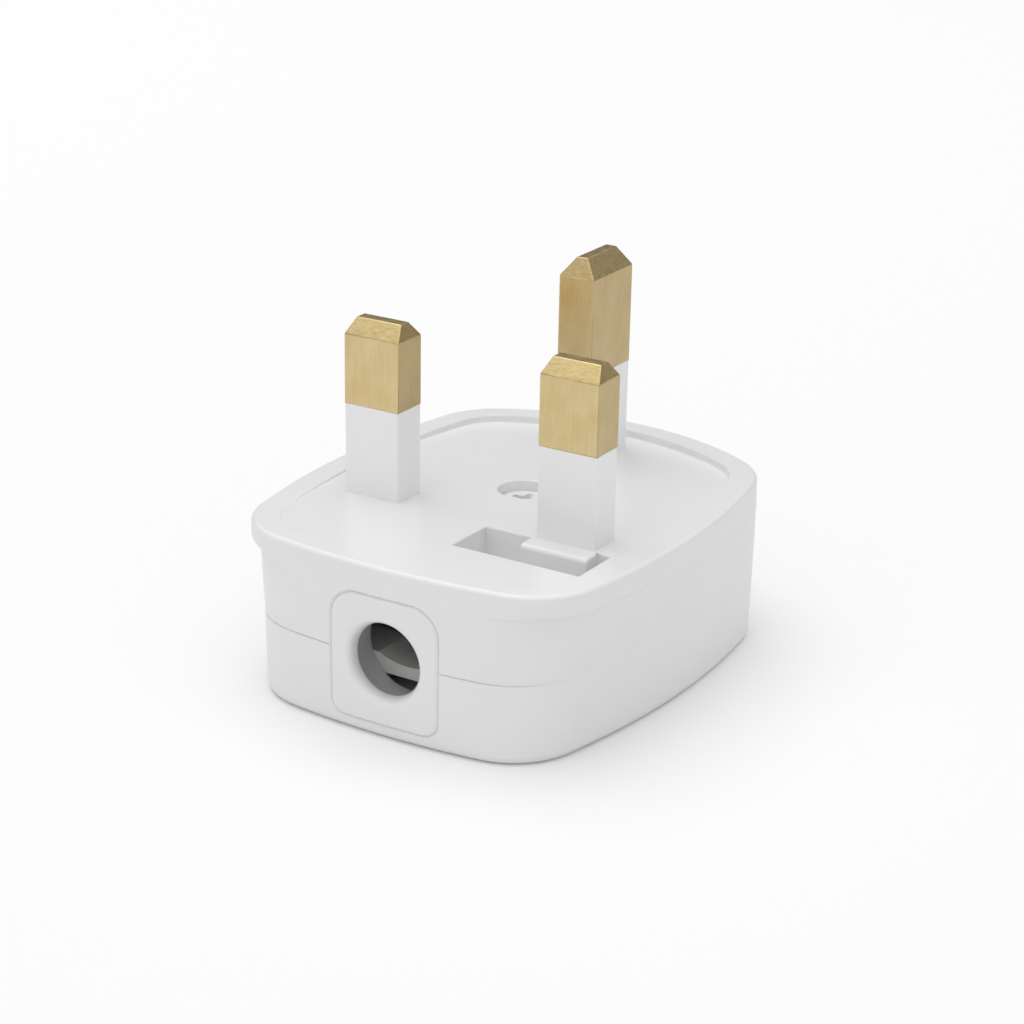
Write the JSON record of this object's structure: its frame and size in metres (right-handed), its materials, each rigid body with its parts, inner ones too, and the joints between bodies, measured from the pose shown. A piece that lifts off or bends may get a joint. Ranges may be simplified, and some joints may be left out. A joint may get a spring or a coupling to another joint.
{
  "type": "uk three pin plug",
  "caption": "Fused three pin mains plug in a white moulded body with sleeved flat brass pins, a sunk cover screw, a finger lip and a round cord entry.",
  "frame": {"origin": "under the middle of the body's length and width, on the surface that the back cover lies on", "axes": "+X from the line pin to the neutral pin, +Y from the cord end to the earth pin's end, +Z along the pins to their tips"},
  "size_m": [0.041, 0.0494, 0.0387],
  "materials": {
    "white_housing": "gloss moulded white",
    "white_sleeve": "satin moulded white",
    "pin_brass": "brushed along the pin",
    "plated_steel": "bright zinc plated",
    "terminal_brass": "turned, dull",
    "spring_bronze": "pressed strip",
    "small_screw_steel": "zinc plated",
    "fuse_ceramic": "matt ceramic",
    "fuse_cap_plating": "nickel plated",
    "grip_fibre": "matt pressed fibre",
    "grip_nylon": "matt moulded white"
  },
  "bodies": {
    "root": {"pin_base": "white_housing", "back_cover": "white_housing", "cord_entry_collar": "white_housing", "line_pin": "pin_brass", "neutral_pin": "pin_brass", "earth_pin": "pin_brass", "line_pin_sleeve": "white_sleeve", "neutral_pin_sleeve": "white_sleeve", "earth_pin_sleeve": "white_sleeve", "cover_screw": "plated_steel", "cover_screw_insert": "terminal_brass", "cover_screw_retainer": "grip_fibre", "fuse_tube": "fuse_ceramic", "fuse_cap_front": "fuse_cap_plating", "fuse_cap_rear": "fuse_cap_plating", "line_pin_fuse_clip": "spring_bronze", "terminal_fuse_clip": "spring_bronze", "line_terminal": "terminal_brass", "line_terminal_screw": "small_screw_steel", "neutral_terminal_screw": "small_screw_steel", "earth_terminal_screw": "small_screw_steel", "cord_grip_bar": "grip_nylon", "cord_grip_screws": "small_screw_steel"}
  },
  "joints": []
}
